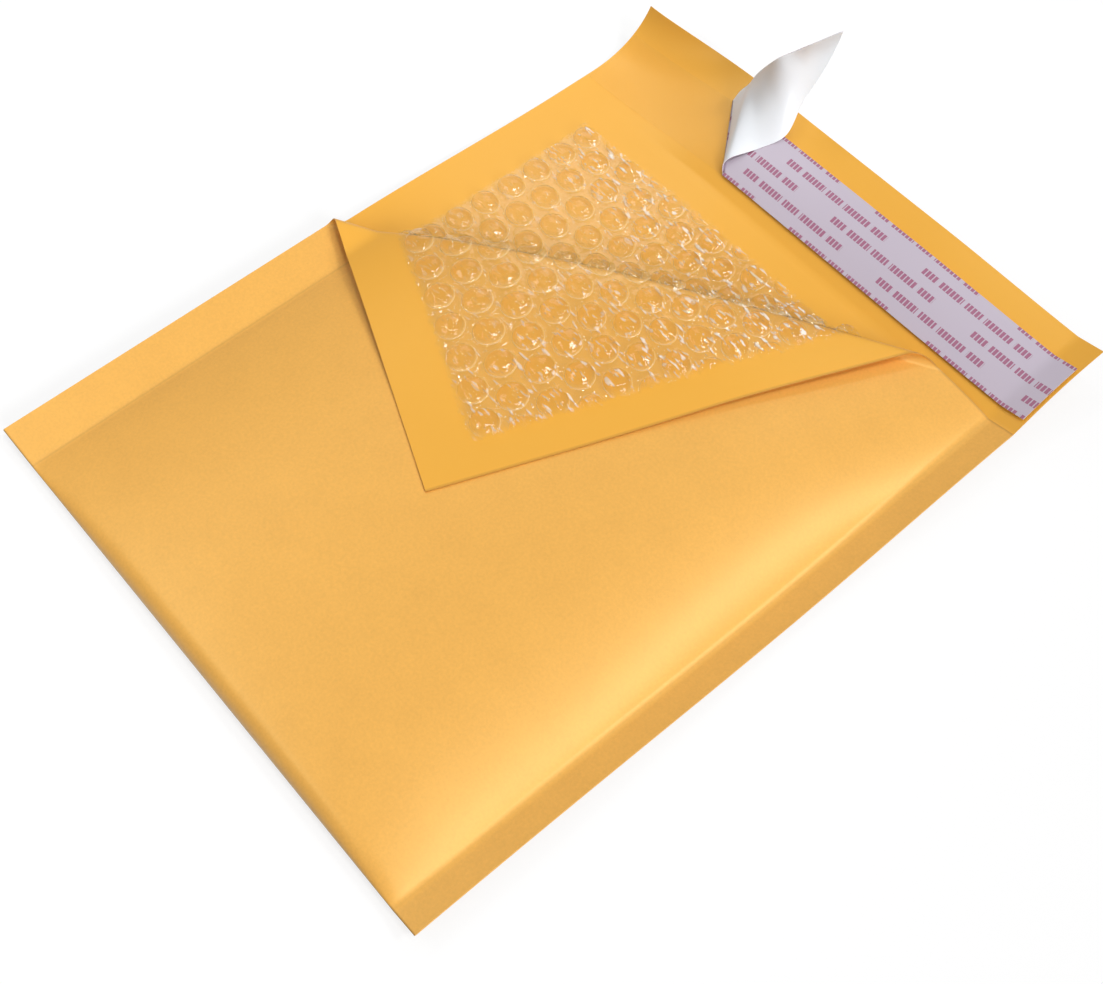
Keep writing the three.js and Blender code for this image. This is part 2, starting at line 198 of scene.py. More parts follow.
# A point of any sheet, at a depth measured from the kraft's inner face into the pocket.
def folded(x, s, depth):
    x = np.asarray(x, float)
    s = np.asarray(s, float) + np.zeros_like(x)
    probe = np.clip(np.abs(s) / 2, 1e-7, 0.05)
    dx = inside(x + probe, s) - inside(x - probe, s)
    ds = inside(x, s + probe) - inside(x, s - probe)
    normal = np.cross(dx, ds)
    normal[np.abs(s) < 1e-6] = (0, -1, 0)
    normal /= np.linalg.norm(normal, axis=-1, keepdims=True)
    return inside(x, s) - normal * np.asarray(depth, float)[..., None]


frame_shift = (-0.011, -171.313, 0)
millimetre = 0.001


def in_place(points):
    return (np.asarray(points).reshape(-1, 3) + frame_shift) * millimetre


def write_marks(mesh, marks):
    for mark, values in marks.items():
        layer = mesh.attributes.new(mark, "FLOAT", "POINT")
        layer.data.foreach_set("value", np.asarray(values, np.float32))


def plain_piece(name, vertices, faces, material, marks=None):
    mesh = bpy.data.meshes.new(name)
    mesh.from_pydata(np.asarray(vertices).tolist(), [], faces)
    mesh.shade_smooth()
    write_marks(mesh, marks or {})
    mesh.materials.append(material)
    piece = bpy.data.objects.new(name, mesh)
    bpy.context.scene.collection.objects.link(piece)
    return piece


def cut_edge_sharp(piece, loops):
    pairs = {frozenset(pair) for pair in loops}
    layer = piece.data.attributes.new("sharp_edge", "BOOLEAN", "EDGE")
    layer.data.foreach_set("value", [frozenset(e.vertices) in pairs for e in piece.data.edges])


def only_used(faces):
    used = sorted({v for face in faces for v in face})
    index = {v: i for i, v in enumerate(used)}
    return used, index


# A closed sheet between two depths. Where rows meet at its top edge, they share their points.
def sheet_piece(name, columns, rows, place, low, high, material, top=None):
    rows = np.asarray(rows, float)
    columns = np.broadcast_to(np.asarray(columns, float), rows.shape)
    count = rows.size
    number = np.arange(count).reshape(rows.shape)
    if top is not None:
        for k in range(1, rows.shape[0]):
            same = (rows[k] >= top) & (rows[k - 1] >= top)
            number[k] = np.where(same, number[k - 1], number[k])
    outer = place(columns, rows, np.full(rows.shape, low))
    inner = place(columns, rows, np.full(rows.shape, high))
    faces = []
    open_edges = {}
    for k in range(rows.shape[0] - 1):
        lower = number[k].tolist()
        upper = number[k + 1].tolist()
        for i in range(rows.shape[1] - 1):
            ring = list(dict.fromkeys((lower[i], lower[i + 1], upper[i + 1], upper[i])))
            if len(ring) < 3:
                continue
            faces.append(ring)
            faces.append([count + v for v in reversed(ring)])
            for a, b in zip(ring, ring[1:] + ring[:1]):
                if open_edges.pop((b, a), None) is None:
                    open_edges[(a, b)] = True
    rim = []
    for a, b in open_edges:
        faces.append([b, a, count + a, count + b])
        rim.append((a, b))
        rim.append((count + a, count + b))
    used, index = only_used(faces)
    faces = [[index[v] for v in face] for face in faces]
    rim = [(index[a], index[b]) for a, b in rim]
    points = np.concatenate([outer.reshape(-1, 3), inner.reshape(-1, 3)])[used]
    within = (np.array(used) >= count).astype(float)
    flat_x = np.concatenate([columns.ravel(), columns.ravel()])[used]
    flat_s = np.concatenate([rows.ravel(), rows.ravel()])[used]
    marks = {"within": within, "flat_x": flat_x, "flat_s": flat_s}
    piece = plain_piece(name, in_place(points), faces, material, marks)
    cut_edge_sharp(piece, rim)
    return piece


# A socket in a node tree. Arithmetic on it adds Math nodes to the tree.
class Wire:
    def __init__(self, tree, socket=None):
        self.tree = tree
        self.socket = socket

    def node(self, kind, settings, sockets, output=0):
        made = self.tree.nodes.new(kind)
        for name, value in settings.items():
            if name == "stops":
                for k, (place, colour) in enumerate(value):
                    if k < 2:
                        stop = made.color_ramp.elements[k]
                        stop.position = place
                    else:
                        stop = made.color_ramp.elements.new(place)
                    stop.color = colour
            elif name == "ramp":
                made.color_ramp.interpolation = value
            else:
                setattr(made, name, value)
        for name, value in sockets.items():
            if isinstance(value, Wire):
                self.tree.links.new(value.socket, made.inputs[name])
            else:
                made.inputs[name].default_value = value
        return Wire(self.tree, made.outputs[output] if made.outputs else None)

    def math(self, operation, a, b):
        return self.node("ShaderNodeMath", {"operation": operation}, {0: a, 1: b})

    def mix(self, share, a, b):
        settings = {"data_type": "RGBA"}
        return self.node("ShaderNodeMix", settings, {0: share, 6: a, 7: b}, 2)

    def held(self, value, low, high):
        return self.math("MINIMUM", self.math("MAXIMUM", value, low), high)

    def mark(self, name):
        return self.node("ShaderNodeAttribute", {"attribute_name": name}, {}, "Fac")

    def layered(self, share, under, over):
        return self.node("ShaderNodeMixShader", {}, {0: share, 1: under, 2: over})

    def finish(self, surface):
        self.node("ShaderNodeOutputMaterial", {}, {"Surface": surface})

    def __add__(self, other):
        return self.math("ADD", self, other)

    def __radd__(self, other):
        return self.math("ADD", other, self)

    def __sub__(self, other):
        return self.math("SUBTRACT", self, other)

    def __rsub__(self, other):
        return self.math("SUBTRACT", other, self)

    def __mul__(self, other):
        return self.math("MULTIPLY", self, other)

    def __rmul__(self, other):
        return self.math("MULTIPLY", other, self)

    def __gt__(self, other):
        return self.math("GREATER_THAN", self, other)

    def __lt__(self, other):
        return self.math("LESS_THAN", self, other)

    def __mod__(self, other):
        return self.math("FLOORED_MODULO", self, other)

    def __abs__(self):
        return self.math("ABSOLUTE", self, 0)


def new_material(name):
    material = bpy.data.materials.new(name)
    material.use_nodes = True
    tree = material.node_tree
    tree.nodes.clear()
    return material, Wire(tree)


def noise(wire, where, scale, detail, rough):
    sockets = {"Vector": where, "Scale": scale, "Detail": detail, "Roughness": rough}
    return wire.node("ShaderNodeTexNoise", {}, sockets)


kraft_paper, wire = new_material("golden kraft paper")
where = wire.node("ShaderNodeTexCoord", {}, {}, "Object")
within = wire.mark("within")
outer_face = (0.95, 0.49, 0.100, 1)
outer_dark = (0.80, 0.405, 0.082, 1)
inner_face = (0.90, 0.437, 0.051, 1)
# Painted shade colour for thin dark lines along the bottom fold and the seam creases.
crease_shade_tone = (0.42, 0.19, 0.045, 1)
# Colour for the mouth edge: partly the cut edge's own darker brown, partly painted shade of the
# gap under it.
cut_edge_shade_tone = (0.40, 0.16, 0.03, 1)
sheen_tint = (1.0, 0.92, 0.52, 1)
# Where, in s, the painted shade line along the bottom fold lies.
bottom_shade_place = -0.8
cloud_scale = 70
fibre_scale = 900
cloud = noise(wire, where, cloud_scale, 4, 0.6)
fibre = noise(wire, where, fibre_scale, 2, 0.6)
patchy = (cloud * 0.6 + fibre * 1.1 - 0.45) * (1 - within * 0.7)
tone = wire.mix(patchy, outer_face, outer_dark)
tone = wire.mix(within, tone, inner_face)
flat_x = wire.mark("flat_x")
flat_s = wire.mark("flat_s")


def crease_line(place, centre, sharpness):
    return wire.math("MAXIMUM", 1 - abs(place - centre) * sharpness, 0)


# Painted shade: thin darker lines on the outer face along the bottom fold and, on the front, along
# the seam creases, where shade falls.
bottom_line = crease_line(flat_s, bottom_shade_place, 0.8)
left_line = crease_line(flat_x, left_crease, 1.3)
right_line = crease_line(flat_x, right_crease, 1.3)
seam_lines = (left_line * 0.25 + right_line * 0.1) * (flat_s > 0)
painted_crease_shade = wire.math("MAXIMUM", bottom_line * 0.75, seam_lines)
tone = wire.mix(painted_crease_shade * (1 - within), tone, crease_shade_tone)
# A thin darker line along the front's mouth edge: partly the cut edge's own darker brown, partly
# painted shade of the gap under the edge.
cut_edge_shade_line = crease_line(flat_s, pocket_length, 0.9)
tone = wire.mix(cut_edge_shade_line * 0.6, tone, cut_edge_shade_tone)
grain = wire.node("ShaderNodeBump", {}, {"Strength": 0.12, "Distance": 0.0002, "Height": fibre})
surface = wire.node(
    "ShaderNodeBsdfPrincipled",
    {},
    {
        "Base Color": tone,
        "Roughness": 0.37,
        "Specular IOR Level": 0.8,
        "Specular Tint": sheen_tint,
        "Normal": grain,
    },
)
wire.finish(surface)

columns = np.unique(
    np.concatenate(
        [
            np.linspace(-half_width, left_crease, 9),
            np.linspace(left_crease, right_crease, 106),
            np.linspace(right_crease, half_width, 6),
        ]
    )
)
flat_end_left = turn_start + roll_start / turn_cos
flat_end_right = flat_end_left + 2 * half_width * turn_sin / turn_cos
first_steps = [0, 0.0004, 0.0012, 0.0025, 0.0045, 0.0075, 0.0115, 0.017]
share_up = np.concatenate([first_steps, np.linspace(0.024, 1, 104)])
rows = []
for s in np.linspace(-pocket_length - flap_length, -pocket_length, 30)[:-1]:
    rows.append(np.full(columns.shape, s))
for share in share_up[:0:-1]:
    rows.append(np.full(columns.shape, -pocket_length * share))
across_share = (columns + half_width) / (2 * half_width)
for share in share_up[:-1]:
    rows.append(blend(share * flat_end_left, share * flat_end_right, across_share))
reach = (pocket_length - turn_start) * turn_cos
turned = np.linspace(roll_start, roll_end, 15)
turned = np.concatenate([turned, np.linspace(roll_end, reach, 52)[1:]])
for across in turned:
    rows.append(turn_start + (across + (columns + half_width) * turn_sin) / turn_cos)
rows = np.minimum(np.array(rows), pocket_length)
kraft = sheet_piece("kraft_sheet", columns, rows, folded, -paper, 0.0, kraft_paper, pocket_length)
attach(kraft, "root")
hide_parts("kraft_sleeve")

# Bubble lining: clear polythene film with air bubbles in a honeycomb. A flat film is welded to a
# film drawn into domes, the flat side is stuck to the kraft, and the domes face into the pocket.
# It stops short of the seams and the mouth.
lining_left = left_crease + 6.0
lining_right = right_crease - 10.0
lining_end = pocket_length - 11.75
lining_spread = 5.0
spread_run = 32.0
spread_reach = 50.0
bubble_pitch = 13.5
bubble_side = bubble_pitch / np.sqrt(3)
bubble_rise = 3.1
bubble_slack = 0.14
pocket_clearance = 1.6
lining_gap = 0.4
film = 0.4
fade_margin = 7.0
dome_margin = 3.5
weld_margin = 1.5
fold_margin = 9.0
open_margin = 4.0

bubble_film, wire = new_material("clear bubble film")
weld = wire.mark("weld")
facing = wire.node("ShaderNodeLayerWeight", {}, {"Blend": 0.5}, "Facing")
where = wire.node("ShaderNodeTexCoord", {}, {}, "Object")
clear_tone = (0.975, 0.978, 0.94, 1)
# Painted shade colour: the domes tint what is seen through them darker and oranger.
dome_shade_tone = (0.95, 0.89, 0.66, 1)
haze_tone = (0.98, 0.75, 0.42, 1)
# Painted highlight colour for white streaks in the film.
glint_streak_tone = (1.0, 0.98, 0.93, 1)
slack_scale = 330
glint_streak_scale = 620
slack = noise(wire, where, slack_scale, 1, 0.5)
crumple = wire.node("ShaderNodeBump", {}, {"Strength": 0.55, "Distance": 0.001, "Height": slack})
clear = wire.node("ShaderNodeBsdfTransparent", {}, {"Color": clear_tone})
glint = wire.node(
    "ShaderNodeBsdfGlossy",
    {},
    {"Color": (1, 1, 1, 1), "Roughness": 0.06, "Normal": crumple},
)
haze = wire.node("ShaderNodeBsdfDiffuse", {}, {"Color": haze_tone})
puffed = wire.mark("puffed")
# Painted shade: where the film is puffed into domes it passes less light, so the dome insides look
# darker.
deep = wire.node("ShaderNodeBsdfTransparent", {}, {"Color": dome_shade_tone})
film_face = wire.layered(puffed * 0.5, clear, deep)
mirror = 0.035 + facing * facing * facing * (0.07 + puffed * 0.17)
film_face = wire.layered(mirror, film_face, glint)
film_face = wire.layered(weld * 0.38, film_face, haze)
# Painted highlights: white streaks cut from stretched noise stand in for light glinting off
# creases in the film; they are stronger towards the right seam and the mouth.
drawn_out = wire.node("ShaderNodeMapping", {}, {"Vector": where, "Scale": (0.3, 1.0, 0.6)})
glint_streak_mask = noise(wire, drawn_out, glint_streak_scale, 1, 0.5)
across_place = wire.node("ShaderNodeSeparateXYZ", {}, {0: where}, 0)
along_place = wire.node("ShaderNodeSeparateXYZ", {}, {0: where}, 1)
glint_streak_reach = wire.math("MAXIMUM", across_place * 9.0 + 0.5, along_place * 22.0 - 1.1)
glint_streak_reach = wire.held(glint_streak_reach, 0.12, 1)
glint_streak_mask = wire.held(glint_streak_mask * 14.0 - 8.7, 0, 1) * glint_streak_reach
glint_streaks = wire.node("ShaderNodeBsdfDiffuse", {}, {"Color": glint_streak_tone})
film_face = wire.layered(glint_streak_mask * 0.9, film_face, glint_streaks)
edge = wire.mark("edge")
cover = wire.held(edge * 2.0 + slack * 0.9 - 0.6, 0, 1)
bare = wire.node("ShaderNodeBsdfTransparent", {}, {"Color": (1, 1, 1, 1)})
surface = wire.layered(cover, bare, film_face)
wire.finish(surface)


# Each ring is a radius, a height and a share of weld. A radius of None is the cell's own edge.
def bubble_tile(name, spokes, rings):
    points = []
    welds = []
    for radius, height, weld_share in rings:
        for k in range(spokes):
            angle = 2 * np.pi * k / spokes
            reach = radius
            if radius is None:
                reach = bubble_pitch / 2 / np.cos(angle % (np.pi / 3) - np.pi / 6)
            points.append((reach * np.cos(angle), reach * np.sin(angle), height))
            welds.append(weld_share)
    points.append((0, 0, bubble_rise))
    welds.append(0)
    faces = []
    for ring in range(len(rings) - 1):
        for k in range(spokes):
            a = ring * spokes + k
            b = ring * spokes + (k + 1) % spokes
            faces.append((a, b, b + spokes, a + spokes))
    last = (len(rings) - 1) * spokes
    for k in range(spokes):
        faces.append((last + k, last + (k + 1) % spokes, len(points) - 1))
    return plain_piece(name, points, faces, bubble_film, {"weld": welds})


dome = bubble_tile(
    "bubble_dome",
    18,
    [
        (None, 0, 0.1),
        (5.7, 0, 0.16),
        (5.5, 0.04 * bubble_rise, 1.0),
        (5.1, 0.42 * bubble_rise, 0.3),
        (4.2, 0.84 * bubble_rise, 0.0),
    ],
)
low_dome = bubble_tile(
    "bubble_low",
    12,
    [(None, 0, 0.0), (5.5, 0, 0.6), (4.4, 0.8 * bubble_rise, 0.1)],
)

lattice_columns = 18
lattice_rows = 41
seen_margin = 14.0
weld_reach = 0.02
fill_seed = 7
column_step = bubble_pitch * np.cos(np.pi / 6)
lattice_middle = lining_left + bubble_side + (lattice_columns / 2 - 1.5) * column_step
lattice = bpy.data.node_groups.new("bubble lattice", "GeometryNodeTree")
for label, kind in (
    ("Pitch", "NodeSocketFloat"),
    ("Columns", "NodeSocketInt"),
    ("Rows", "NodeSocketInt"),
    ("Slack", "NodeSocketFloat"),
    ("Dome", "NodeSocketObject"),
    ("Low Dome", "NodeSocketObject"),
    ("Film", "NodeSocketMaterial"),
):
    lattice.interface.new_socket(label, in_out="INPUT", socket_type=kind)
lattice.interface.new_socket("Geometry", in_out="OUTPUT", socket_type="NodeSocketGeometry")
wire = Wire(lattice)
group_in = lattice.nodes.new("NodeGroupInput")
given = {socket.name: Wire(lattice, socket) for socket in group_in.outputs if socket.name}
step_x = given["Pitch"] * np.cos(np.pi / 6)
span_x = (given["Columns"] - 1) * step_x
span_y = (given["Rows"] - 1) * given["Pitch"]
points = wire.node(
    "GeometryNodeMeshGrid",
    {},
    {
        "Size X": span_x,
        "Size Y": span_y,
        "Vertices X": given["Columns"],
        "Vertices Y": given["Rows"],
    },
)
spot = wire.node("GeometryNodeInputPosition", {}, {})
spot_x = wire.node("ShaderNodeSeparateXYZ", {}, {0: spot}, 0)
column = wire.math("ROUND", wire.math("DIVIDE", spot_x + span_x * 0.5, step_x), 0)
shift = wire.node("ShaderNodeCombineXYZ", {}, {"Y": (1 - column % 2) * given["Pitch"] * 0.5})
points = wire.node("GeometryNodeSetPosition", {}, {"Geometry": points, "Offset": shift})
spot_y = wire.node("ShaderNodeSeparateXYZ", {}, {0: spot}, 1)
side = (abs(spot_y) - turn_start) * float(turn_cos)
side = side - (spot_x + float(lattice_middle + half_width)) * float(turn_sin)
seen = side > -seen_margin
fill = wire.node(
    "FunctionNodeRandomValue",
    {"data_type": "FLOAT"},
    {"Min": 1 - given["Slack"], "Max": 1.0, "Seed": fill_seed},
    "Value",
)
size = wire.node("ShaderNodeCombineXYZ", {}, {"X": 1.0, "Y": 1.0, "Z": fill})
made = []
for label, chosen in (("Dome", seen), ("Low Dome", 1 - seen)):
    shape = wire.node("GeometryNodeObjectInfo", {}, {"Object": given[label]}, "Geometry")
    sockets = {"Points": points, "Selection": chosen, "Instance": shape, "Scale": size}
    made.append(wire.node("GeometryNodeInstanceOnPoints", {}, sockets))
joined = lattice.nodes.new("GeometryNodeJoinGeometry")
for part in made:
    lattice.links.new(part.socket, joined.inputs[0])
every_bubble = Wire(lattice, joined.outputs[0])
real = wire.node("GeometryNodeRealizeInstances", {}, {"Geometry": every_bubble})
welded = wire.node("GeometryNodeMergeByDistance", {}, {"Geometry": real, "Distance": weld_reach})
coated = wire.node("GeometryNodeSetMaterial", {}, {"Geometry": welded, "Material": given["Film"]})
group_out = lattice.nodes.new("NodeGroupOutput")
lattice.links.new(coated.socket, group_out.inputs[0])

carrier = bpy.data.objects.new("bubble_carrier", bpy.data.meshes.new("bubble_carrier"))
bpy.context.scene.collection.objects.link(carrier)
drawn = carrier.modifiers.new("bubbles", "NODES")
drawn.node_group = lattice
film_values = {
    "Pitch": bubble_pitch,
    "Columns": lattice_columns,
    "Rows": lattice_rows,
    "Slack": bubble_slack,
    "Dome": dome,
    "Low Dome": low_dome,
    "Film": bubble_film,
}
for item in lattice.interface.items_tree:
    if item.in_out == "INPUT":
        drawn[item.identifier] = film_values[item.name]
bpy.context.view_layer.update()
ready = carrier.evaluated_get(bpy.context.evaluated_depsgraph_get())
flat_film = bpy.data.meshes.new_from_object(ready)
carrier.modifiers.remove(drawn)
for spent in (carrier, dome, low_dome):
    bpy.data.objects.remove(spent)


# The lining follows the kraft, and spreads to the left where the seam is open.
def lined(x, s, depth):
    spread = lining_spread * ease(np.abs(s), seal_end, seal_end + spread_run)
    held_back = 1 - ease(x, lining_left, lining_left + spread_reach)
    return folded(x - spread * held_back, s, depth)


def to_border(x, s):
    across = np.minimum(x - lining_left, lining_right - x)
    return np.minimum(across, lining_end - np.abs(s))


def read_mark(mesh, name):
    values = np.zeros(len(mesh.vertices), np.float32)
    mesh.attributes[name].data.foreach_get("value", values)
    return values


flat = np.zeros(len(flat_film.vertices) * 3, np.float32)
flat_film.vertices.foreach_get("co", flat)
flat = flat.reshape(-1, 3).astype(float)
flat[:, 0] += lattice_middle
welds = read_mark(flat_film, "weld")
film_faces = [list(p.vertices) for p in flat_film.polygons]
bpy.data.meshes.remove(flat_film)
clamped_x = np.clip(flat[:, 0], lining_left, lining_right)
clamped_s = np.clip(flat[:, 1], -lining_end, lining_end)
beyond = (np.abs(flat[:, 0] - clamped_x) + np.abs(flat[:, 1] - clamped_s)) > 1e-6
border = to_border(clamped_x, clamped_s)
film_faces = [face[::-1] for face in film_faces if not all(beyond[v] for v in face)]
length = np.abs(clamped_s)
pocket_depth = front_height(clamped_x, length) - back_height(clamped_x, length)
room = np.clip((pocket_depth / 2 - pocket_clearance) / bubble_rise, 0, 1)
opened = to_turn(clamped_x, length)[1] > roll_start - open_margin
room = np.where(opened, 1, room)
room = np.where(length < fold_margin, 0, room)
rise = flat[:, 2] * room * ease(border, 0, dome_margin)
depth = lining_gap + film * ease(border, 0, weld_margin) + rise
raised = lined(clamped_x, clamped_s, depth)
used, index = only_used(film_faces)
film_faces = [[index[v] for v in face] for face in film_faces]
top_points = raised[used]
top_welds = welds[used]
top_edge = ease(border, 0, fade_margin)[used]
top_puffed = ease(rise / bubble_rise, 0.1, 0.6)[used]

film_columns = np.linspace(lining_left, lining_right, 45)
back_rows = np.linspace(-lining_end, -6, 80)
fold_rows = [-4, -2.5, -1.2, 0, 1.2, 2.5, 4]
film_rows = np.concatenate([back_rows, fold_rows, np.linspace(6, lining_end, 190)])
grid_x, grid_s = np.meshgrid(film_columns, film_rows)
base_points = lined(grid_x, grid_s, np.full(grid_x.shape, lining_gap)).reshape(-1, 3)
start = len(used)
wide = len(film_columns)
for k in range(len(film_rows) - 1):
    for i in range(wide - 1):
        a = start + k * wide + i
        film_faces.append([a, a + 1, a + wide + 1, a + wide])
every_point = np.concatenate([top_points, base_points])
base_edge = ease(to_border(grid_x, grid_s).ravel(), 0, fade_margin)
level = np.zeros(len(base_points))
film_marks = {
    "weld": np.concatenate([top_welds, level]),
    "edge": np.concatenate([top_edge, base_edge]),
    "puffed": np.concatenate([top_puffed, level]),
}
lining = plain_piece("bubble_film", in_place(every_point), film_faces, bubble_film, film_marks)
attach(lining, "root")
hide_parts("bubble_lining")

# Glue band: a thin coat of clear pressure-sensitive glue across the inside of the flap.
# It is bare where the liner has been peeled off.
glue_start = 6.5
glue_width = 28.0
glue = 0.2
side_margin = 1.0

clear_glue, wire = new_material("clear glue")
glue_clear_tone = (1.0, 1.0, 0.995, 1)
glue_tone = (0.9, 0.6, 0.25, 1)
glue_body = 0.03
clear = wire.node("ShaderNodeBsdfTransparent", {}, {"Color": glue_clear_tone})
shine = wire.node("ShaderNodeBsdfPrincipled", {}, {"Base Color": glue_tone, "Roughness": 0.25})
surface = wire.layered(glue_body, clear, shine)
wire.finish(surface)
glue_columns = np.linspace(side_margin - half_width, half_width - side_margin, 100)
glue_near = -pocket_length - glue_start
glue_far = glue_near - glue_width
glue_rows = np.linspace(glue_far, glue_near, 16)
glue_rows = np.repeat(glue_rows[:, None], len(glue_columns), 1)
glue_top = lining_gap + glue
band = sheet_piece("glue_band", glue_columns, glue_rows, folded, lining_gap, glue_top, clear_glue)
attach(band, "root")
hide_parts("adhesive_strip")

# Release liner: silicone-coated paper over the glue, printed on the face and plain white behind.
# Its end is peeled off the glue and has curled up and over.
liner = 0.25
liner_gap = 2 * lining_gap + glue
peel_low = -37.0
peel_high = -60.0
tail_length = 75.0
tail_bow = 2.5
tail_low = [
    (0, 0, 0),
    (-2.5, 2.4, 2.5),
    (-2.0, 5.1, 4.5),
    (3.0, 15.9, 6.5),
    (7.3, 26.4, 10.0),
    (3.1, 39.4, 17.2),
    (1.3, 48.0, 20.9),
    (-0.7, 56.6, 25.6),
    (-2.5, 62.5, 29.7),
]
tail_high = [
    (0, 0, 0),
    (0.5, 3.2, 3.7),
    (2.6, 5.3, 7.7),
    (4.2, 6.7, 12.6),
    (7.6, 6.7, 19.2),
    (13.8, 7.3, 28.9),
    (18.1, 11.2, 33.1),
    (23.3, 14.7, 38.5),
    (30.3, 23.0, 45.0),
]


# A smooth curve that passes through every knot.
def smooth_run(knots, share):
    knots = np.asarray(knots, float)
    knots = np.concatenate([[2 * knots[0] - knots[1]], knots, [2 * knots[-1] - knots[-2]]])
    place = np.clip(share, 0, 1) * (len(knots) - 3)
    first = np.minimum(place.astype(int), len(knots) - 4)
    t = (place - first)[..., None]
    p0, p1, p2, p3 = (knots[first + k] for k in range(4))
    g0, g1, g2 = (
        np.maximum(np.linalg.norm(b - a, axis=-1, keepdims=True), 1e-6) ** 0.5
        for a, b in ((p0, p1), (p1, p2), (p2, p3))
    )
    m1 = ((p1 - p0) / g0 - (p2 - p0) / (g0 + g1) + (p2 - p1) / g1) * g1
    m2 = ((p2 - p1) / g1 - (p3 - p1) / (g1 + g2) + (p3 - p2) / g2) * g1
    bend = -3 * p1 + 3 * p2 - 2 * m1 - m2
    return p1 + m1 * t + bend * t ** 2 + (2 * p1 - 2 * p2 + m1 + m2) * t ** 3


def tail_point(share, v):
    low_root = folded([peel_low], [glue_near], [liner_gap])
    high_root = folded([peel_high], [glue_far], [liner_gap])
    low = low_root + smooth_run(tail_low, share)
    high = high_root + smooth_run(tail_high, share)
    return low + (high - low) * v[..., None]


# Along the liner, x runs from 0 to 1 where it is stuck and from 0 to -1 where it is peeled off.
def liner_point(x, v, depth):
    x = np.asarray(x, float)
    left = blend(peel_low, peel_high, v)
    stuck_x = blend(left, half_width - side_margin, np.clip(x, 0, 1))
    stuck = folded(stuck_x, glue_near - v * glue_width, liner_gap + depth)
    probe = 0.02
    share = np.clip(-x, probe, 1 - probe)
    along = tail_point(share + probe, v) - tail_point(share - probe, v)
    across = tail_point(share, np.ones_like(v)) - tail_point(share, np.zeros_like(v))
    normal = np.cross(across, along)
    normal /= np.linalg.norm(normal, axis=-1, keepdims=True)
    bow = tail_bow * 4 * v * (1 - v) * ease(-x, 0.1, 0.5) * (1 - ease(-x, 0.7, 1))
    tail = tail_point(np.clip(-x, 0, 1), v) + normal * (depth - bow)[..., None]
    return np.where((x >= 0)[..., None], stuck, tail)


liner_paper, wire = new_material("printed release liner")
face_tone = (0.60, 0.53, 0.62, 1)
back_tone = (0.90, 0.93, 0.97, 1)
print_tone = (0.36, 0.06, 0.16, 1)
within = wire.mark("within")
along = wire.mark("print_x")
across = wire.mark("print_y")
row_pitch = 7.0
row_stagger = 31.0
print_repeat = 72.0
printed_runs = ((0.0, 0.095), (0.12, 0.27), (0.295, 0.4), (0.425, 0.60), (0.625, 0.73))
bar_height = 2.8
bar_pitch = 1.75
bar_width = 1.3
row = wire.math("FLOOR", across * (1 / row_pitch) + 0.5, 0)
offset = abs(across - row * row_pitch)
in_row = offset < bar_height / 2
run = (along + row * row_stagger) % print_repeat
stops = []
for run_start, run_end in printed_runs:
    stops.append((run_start, (1, 1, 1, 1)))
    stops.append((run_end, (0, 0, 0, 1)))
printed = wire.node(
    "ShaderNodeValToRGB",
    {"ramp": "CONSTANT", "stops": stops},
    {0: run * (1 / print_repeat)},
)
bar = (run % bar_pitch) < bar_width
ink = in_row * printed * bar * within
tone = wire.mix(within, back_tone, face_tone)
tone = wire.mix(ink * 0.8, tone, print_tone)
surface = wire.node("ShaderNodeBsdfPrincipled", {}, {"Base Color": tone, "Roughness": 0.38})
wire.finish(surface)

liner_columns = np.concatenate([np.linspace(-1, 0, 60), np.linspace(0, 1, 90)[1:]])
liner_rows = np.repeat(np.linspace(1, 0, 22)[:, None], len(liner_columns), 1)
strip = sheet_piece("liner_strip", liner_columns, liner_rows, liner_point, 0.0, liner, liner_paper)
flat_x = read_mark(strip.data, "flat_x")
flat_v = read_mark(strip.data, "flat_s")
left = blend(peel_low, peel_high, flat_v)
stuck_x = blend(left, half_width - side_margin, flat_x)
print_x = np.where(flat_x >= 0, stuck_x, left + flat_x * tail_length)
write_marks(strip.data, {"print_x": print_x, "print_y": flat_v * glue_width})
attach(strip, "root")
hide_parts("release_liner")

# Stage: a pale seamless floor under an even sky, with a soft key lamp low on the envelope's right.
# Weaker lamps give the paper's sheen, the film's sparkle and the light on the seams and the flap.
# The camera stands where the photograph was taken from.
floor_reach = 4.0
floor_grey = (0.32, 0.32, 0.32, 1)
floor_glow = 0.71
white = (1, 1, 1, 1)
floor_white, wire = new_material("white floor")
ray = wire.node("ShaderNodeLightPath", {}, {}, "Is Camera Ray")
ray = wire.math("MAXIMUM", ray, wire.node("ShaderNodeLightPath", {}, {}, "Is Glossy Ray"))
matt = wire.node("ShaderNodeBsdfDiffuse", {}, {"Color": floor_grey})
glow = wire.node("ShaderNodeEmission", {}, {"Color": white, "Strength": ray * floor_glow})
surface = wire.node("ShaderNodeAddShader", {}, {0: matt, 1: glow})
wire.finish(surface)
floor = plain_piece(
    "floor",
    [(x * floor_reach, y * floor_reach, 0) for x, y in ((-1, -1), (1, -1), (1, 1), (-1, 1))],
    [(0, 1, 2, 3)],
    floor_white,
)

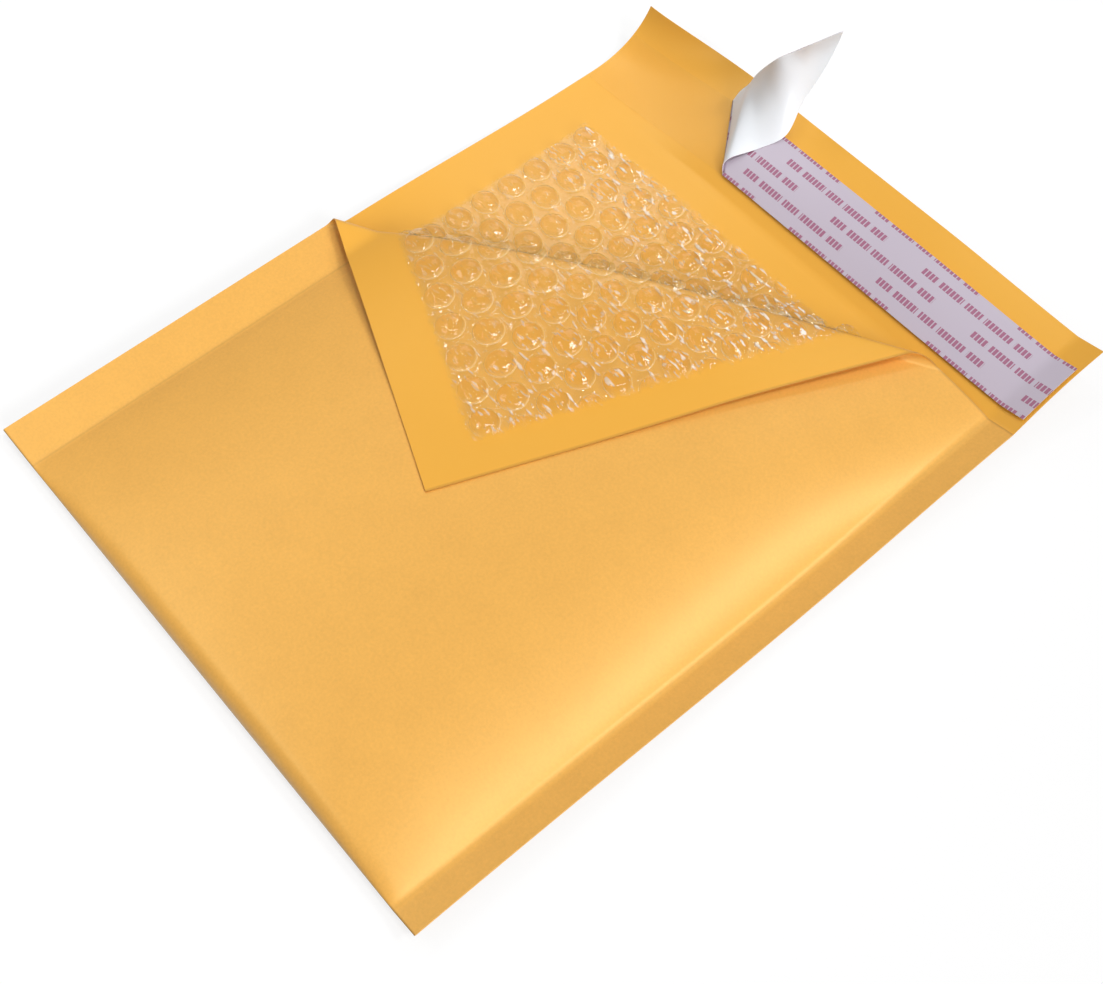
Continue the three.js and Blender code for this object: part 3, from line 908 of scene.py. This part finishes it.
sky_strength = 0.15
sky_in_gloss = 0.5
sky = bpy.data.worlds.new("studio")
bpy.context.scene.world = sky
sky.use_nodes = True
sky.node_tree.nodes.clear()
wire = Wire(sky.node_tree)
path = wire.node("ShaderNodeLightPath", {}, {}, "Is Camera Ray")
glossy = wire.node("ShaderNodeLightPath", {}, {}, "Is Glossy Ray")
path = wire.math("MAXIMUM", path, sky_in_gloss * glossy)
sky_light = wire.node("ShaderNodeBackground", {}, {"Color": white, "Strength": sky_strength})
sky_seen = wire.node("ShaderNodeBackground", {}, {"Color": white, "Strength": 1.0})
surface = wire.layered(path, sky_light, sky_seen)
wire.node("ShaderNodeOutputWorld", {}, {"Surface": surface})

for name, strength, spread, source in (
    ("key", 1.72, 0.4, (0.84, -0.05, 0.46)),
    ("sheen low", 0.6, 0.2, (0.36, 0.1, 0.93)),
    ("sheen up", 0.6, 0.2, (0.46, 0.4, 0.8)),
    ("spark left", 0.08, 0.06, (-0.55, 0.15, 0.82)),
    ("spark behind", 0.09, 0.06, (-0.2, 0.55, 0.8)),
    ("spark right", 0.14, 0.06, (0.1, 0.1, 0.98)),
):
    lamp = bpy.data.lights.new(name, "SUN")
    lamp.energy = strength
    lamp.angle = spread
    holder = bpy.data.objects.new(name, lamp)
    holder.rotation_euler = Vector(source).to_track_quat("Z", "Y").to_euler()
    bpy.context.scene.collection.objects.link(holder)

for name, power, wide, deep, place, target in (
    ("strip", 0.52, 0.45, 0.1, (-0.22, -0.32, 0.48), (0.0, -0.08, 0.0)),
    ("flap", 0.105, 0.16, 0.16, (-0.2, 0.19, 0.19), (-0.09, 0.16, 0.02)),
):
    lamp = bpy.data.lights.new(name, "AREA")
    lamp.shape = "RECTANGLE"
    lamp.size = wide
    lamp.size_y = deep
    lamp.energy = power
    holder = bpy.data.objects.new(name, lamp)
    holder.location = place
    holder.rotation_euler = (Vector(place) - Vector(target)).to_track_quat("Z", "Y").to_euler()
    bpy.context.scene.collection.objects.link(holder)

camera_place = (0.23922, -0.22044, 0.48661)
camera_right = (0.653285, 0.757111, 0.001280)
camera_up = (-0.654999, 0.564326, 0.502505)
camera = bpy.data.objects.new("camera", bpy.data.cameras.new("camera"))
camera.data.sensor_fit = "HORIZONTAL"
camera.data.sensor_width = 36
camera.data.lens = 51.06
right_hand = Vector(camera_right).normalized()
up = Vector(camera_up).normalized()
behind = right_hand.cross(up)
turned_to = Matrix((right_hand, up, behind)).transposed().to_4x4()
turned_to.translation = Vector(camera_place)
camera.matrix_world = turned_to
bpy.context.scene.collection.objects.link(camera)
bpy.context.scene.camera = camera
bpy.context.scene.view_settings.view_transform = "Standard"
